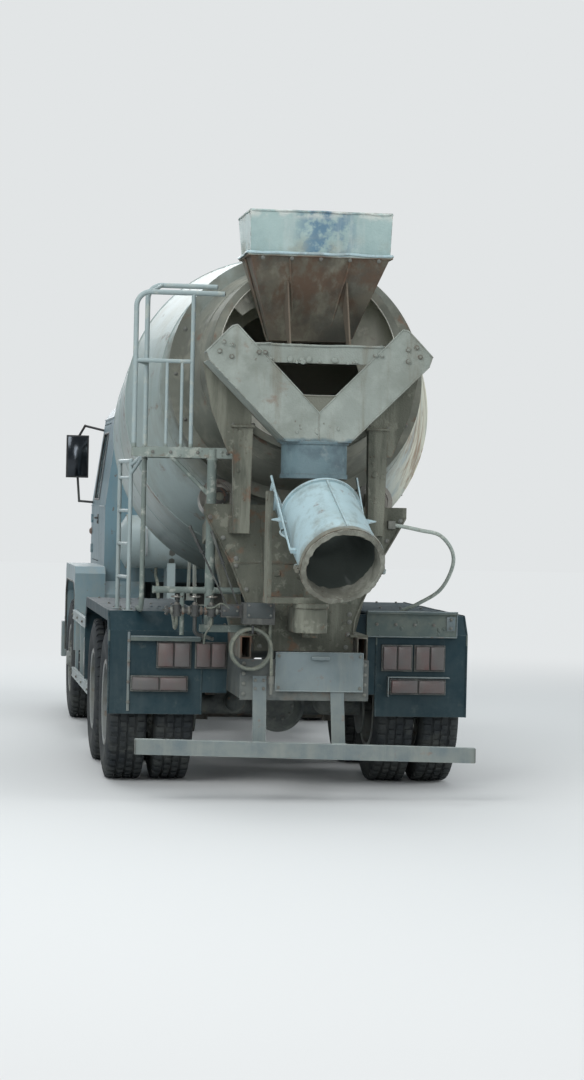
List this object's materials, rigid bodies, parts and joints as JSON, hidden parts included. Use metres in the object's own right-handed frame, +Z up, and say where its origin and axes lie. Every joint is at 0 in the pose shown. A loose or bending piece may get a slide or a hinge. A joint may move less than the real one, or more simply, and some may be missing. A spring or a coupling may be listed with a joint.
{
  "type": "concrete mixer truck",
  "caption": "Three-axle concrete mixer truck: low cab, tilted turning drum with hopper, collector and swinging chute behind, ladder and platform on the left.",
  "frame": {"origin": "on the ground, below the middle of the truck's plan outline, midway between the front bumper and the chute's tip", "axes": "+X to the truck's left, +Y to the rear, +Z up; the cab faces -Y and the chute is at +Y"},
  "size_m": [2.5, 9.0524, 3.86],
  "materials": {
    "frame_steel": "satin chassis paint under dust",
    "dusty_steel": "paint under dried cement dust",
    "muddy_steel": "paint under dried mud",
    "cast_block": "dull cast iron",
    "spring_steel": "dull, lightly rusted",
    "roller_steel": "worn, dusty",
    "cab_paint": "faded pale blue-grey gloss",
    "glass": "clear",
    "trim": "matt black",
    "bumper_paint": "faded grey",
    "grille_paint": "dark grey",
    "lamp_glass": "clear lens",
    "drum_paint": "off-white under cement dust",
    "hopper_paint": "pale grey with blue stains, mud and rust",
    "collector_paint": "grey-beige under dried cement",
    "chute_paint": "pale blue-white",
    "pipe_paint": "pale grey paint",
    "guard_paint": "dark blue-black, dusty",
    "lamp_red": "faded red lens",
    "hose_rubber": "dusty black rubber",
    "side_hose_skin": "grey rubber under dust",
    "tyre": "worn rubber",
    "rim_paint": "dusty silver paint"
  },
  "bodies": {
    "chassis": {"chassis_frame": "frame_steel", "mixer_subframe": "dusty_steel", "engine": "cast_block", "front_axle": "frame_steel", "rear_axles": "frame_steel", "leaf_springs": "spring_steel", "prop_shafts": "cast_block", "cab_shell": "cab_paint", "cab_glass": "glass", "cab_interior": "trim", "front_bumper": "bumper_paint", "grille": "grille_paint", "headlamps": "lamp_glass", "front_fenders": "cab_paint", "mirrors": "trim", "fuel_tank": "bumper_paint", "side_boxes": "frame_steel", "water_tank": "dusty_steel", "front_pedestal": "dusty_steel", "drum_gearbox": "cast_block", "rear_pedestal": "muddy_steel", "charge_hopper": "hopper_paint", "collector": "collector_paint", "platform": "pipe_paint", "ladder": "pipe_paint", "rear_mudguards": "guard_paint", "rear_lamps": "lamp_red", "underride_bar": "pipe_paint", "valve_box": "trim", "hose_ends": "hose_rubber", "hose_coil": "hose_rubber", "hose_nozzle": "roller_steel", "side_hose": "side_hose_skin", "side_guards": "bumper_paint"},
    "door_left": {"door_left": "cab_paint", "door_glass_left": "glass"},
    "door_right": {"door_right": "cab_paint", "door_glass_right": "glass"},
    "knuckle_left": {"knuckle_left": "frame_steel"},
    "knuckle_right": {"knuckle_right": "frame_steel"},
    "tie_rod": {"tie_rod": "cast_block"},
    "wheel_front_left": {"tyre_front_left": "tyre", "rim_front_left": "rim_paint"},
    "wheel_front_right": {"tyre_front_right": "tyre", "rim_front_right": "rim_paint"},
    "wheels_mid_left": {"tyres_mid_left": "tyre", "rims_mid_left": "rim_paint"},
    "wheels_mid_right": {"tyres_mid_right": "tyre", "rims_mid_right": "rim_paint"},
    "wheels_back_left": {"tyres_back_left": "tyre", "rims_back_left": "rim_paint"},
    "wheels_back_right": {"tyres_back_right": "tyre", "rims_back_right": "rim_paint"},
    "drum": {"drum": "drum_paint"},
    "roller_left": {"roller_left": "roller_steel"},
    "roller_right": {"roller_right": "roller_steel"},
    "chute_bracket": {"chute_bracket": "roller_steel"},
    "chute": {"chute": "chute_paint"}
  },
  "joints": [
    {"name": "steer_left", "type": "hinge", "parent": "chassis", "child": "knuckle_left", "pos_m": [0.88, -3.05, 0.53], "axis": [0, 0, 1], "range_deg": [-35, 35]},
    {"name": "steer_right", "type": "hinge", "parent": "chassis", "child": "knuckle_right", "pos_m": [-0.88, -3.05, 0.53], "axis": [0, 0, 1], "range_deg": [-35, 35]},
    {"name": "tie_rod_pin", "type": "hinge", "parent": "knuckle_left", "child": "tie_rod", "pos_m": [0.88, -2.83, 0.405], "axis": [0, 0, 1], "range_deg": [-35, 35]},
    {"name": "spin_front_left", "type": "hinge", "parent": "knuckle_left", "child": "wheel_front_left", "pos_m": [1.05, -3.05, 0.53], "axis": [1, 0, 0], "continuous": true},
    {"name": "spin_front_right", "type": "hinge", "parent": "knuckle_right", "child": "wheel_front_right", "pos_m": [-1.05, -3.05, 0.53], "axis": [1, 0, 0], "continuous": true},
    {"name": "spin_mid_left", "type": "hinge", "parent": "chassis", "child": "wheels_mid_left", "pos_m": [0.935, 0.8, 0.53], "axis": [1, 0, 0], "continuous": true},
    {"name": "spin_mid_right", "type": "hinge", "parent": "chassis", "child": "wheels_mid_right", "pos_m": [-0.935, 0.8, 0.53], "axis": [1, 0, 0], "continuous": true},
    {"name": "spin_back_left", "type": "hinge", "parent": "chassis", "child": "wheels_back_left", "pos_m": [0.935, 2.15, 0.53], "axis": [1, 0, 0], "continuous": true},
    {"name": "spin_back_right", "type": "hinge", "parent": "chassis", "child": "wheels_back_right", "pos_m": [-0.935, 2.15, 0.53], "axis": [1, 0, 0], "continuous": true},
    {"name": "door_left_hinge", "type": "hinge", "parent": "chassis", "child": "door_left", "pos_m": [0.933, -4.206, 1.5], "axis": [0, 0, -1], "range_deg": [0, 70]},
    {"name": "door_right_hinge", "type": "hinge", "parent": "chassis", "child": "door_right", "pos_m": [-0.933, -4.206, 1.5], "axis": [0, 0, 1], "range_deg": [0, 70]},
    {"name": "drum_spin", "type": "hinge", "parent": "chassis", "child": "drum", "pos_m": [0, 3.37, 2.94], "axis": [0, -0.9833, -0.1822], "continuous": true},
    {"name": "roller_left_spin", "type": "hinge", "parent": "chassis", "child": "roller_left", "pos_m": [0.53538, 2.8821, 1.9782], "axis": [0, -0.9833, -0.1822], "continuous": true},
    {"name": "roller_right_spin", "type": "hinge", "parent": "chassis", "child": "roller_right", "pos_m": [-0.53538, 2.8821, 1.9782], "axis": [0, -0.9833, -0.1822], "continuous": true},
    {"name": "chute_swing", "type": "hinge", "parent": "chassis", "child": "chute_bracket", "pos_m": [0, 3.72, 1.3], "axis": [0, 0, 1], "range_deg": [-48, 45]},
    {"name": "chute_lift", "type": "hinge", "parent": "chute_bracket", "child": "chute", "pos_m": [0, 3.72, 1.995], "axis": [0.9903, 0.1392, 0], "range_deg": [-12, 20]}
  ],
  "couplings": [
    {"joint": "steer_right", "follows": "steer_left", "ratio": 1},
    {"joint": "tie_rod_pin", "follows": "steer_left", "ratio": -1},
    {"joint": "roller_left_spin", "follows": "drum_spin", "ratio": -6.7692},
    {"joint": "roller_right_spin", "follows": "drum_spin", "ratio": -6.7692}
  ]
}
